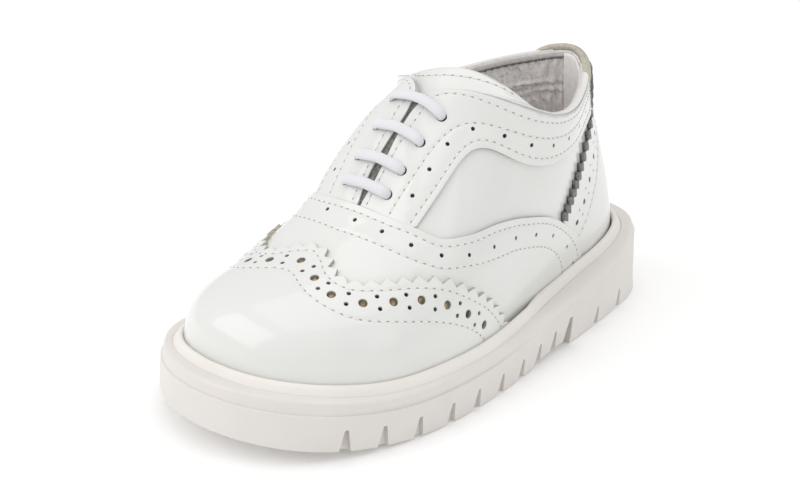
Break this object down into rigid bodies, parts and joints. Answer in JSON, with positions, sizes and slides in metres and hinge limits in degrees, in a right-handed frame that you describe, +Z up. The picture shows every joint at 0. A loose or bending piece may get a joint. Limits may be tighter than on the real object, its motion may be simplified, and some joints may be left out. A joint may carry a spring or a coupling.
{
  "type": "christening shoe",
  "caption": "Toddler's white patent wing-tip oxford, left foot, with straight laces, wavy overlays, padded-edge collar and a moulded lug sole; it stands empty on its sole.",
  "frame": {"origin": "middle of the shoe's bounding box, on the floor plane under the sole", "axes": "+Y from toe to heel, +X to the outer side of the left foot, +Z up"},
  "size_m": [0.07, 0.165, 0.0775],
  "materials": {
    "outsole": "satin off-white moulded rubber",
    "welt": "satin cream bead",
    "insole": "matt grey leather sock",
    "upper": "glossy white patent",
    "tongue": "glossy white patent",
    "vamp": "glossy white patent",
    "toe_cap": "glossy white patent",
    "eyestay_lateral": "glossy white patent",
    "eyestay_medial": "glossy white patent",
    "heel_counter": "glossy white patent",
    "lace": "woven white elastic"
  },
  "bodies": {
    "root": {"outsole": "outsole", "welt": "welt", "insole": "insole", "upper": "upper", "tongue": "tongue", "vamp": "vamp", "toe_cap": "toe_cap", "eyestay_lateral": "eyestay_lateral", "eyestay_medial": "eyestay_medial", "heel_counter": "heel_counter", "lace_bar_1": "lace", "lace_bar_2": "lace", "lace_bar_3": "lace", "lace_bar_4": "lace"}
  },
  "joints": []
}
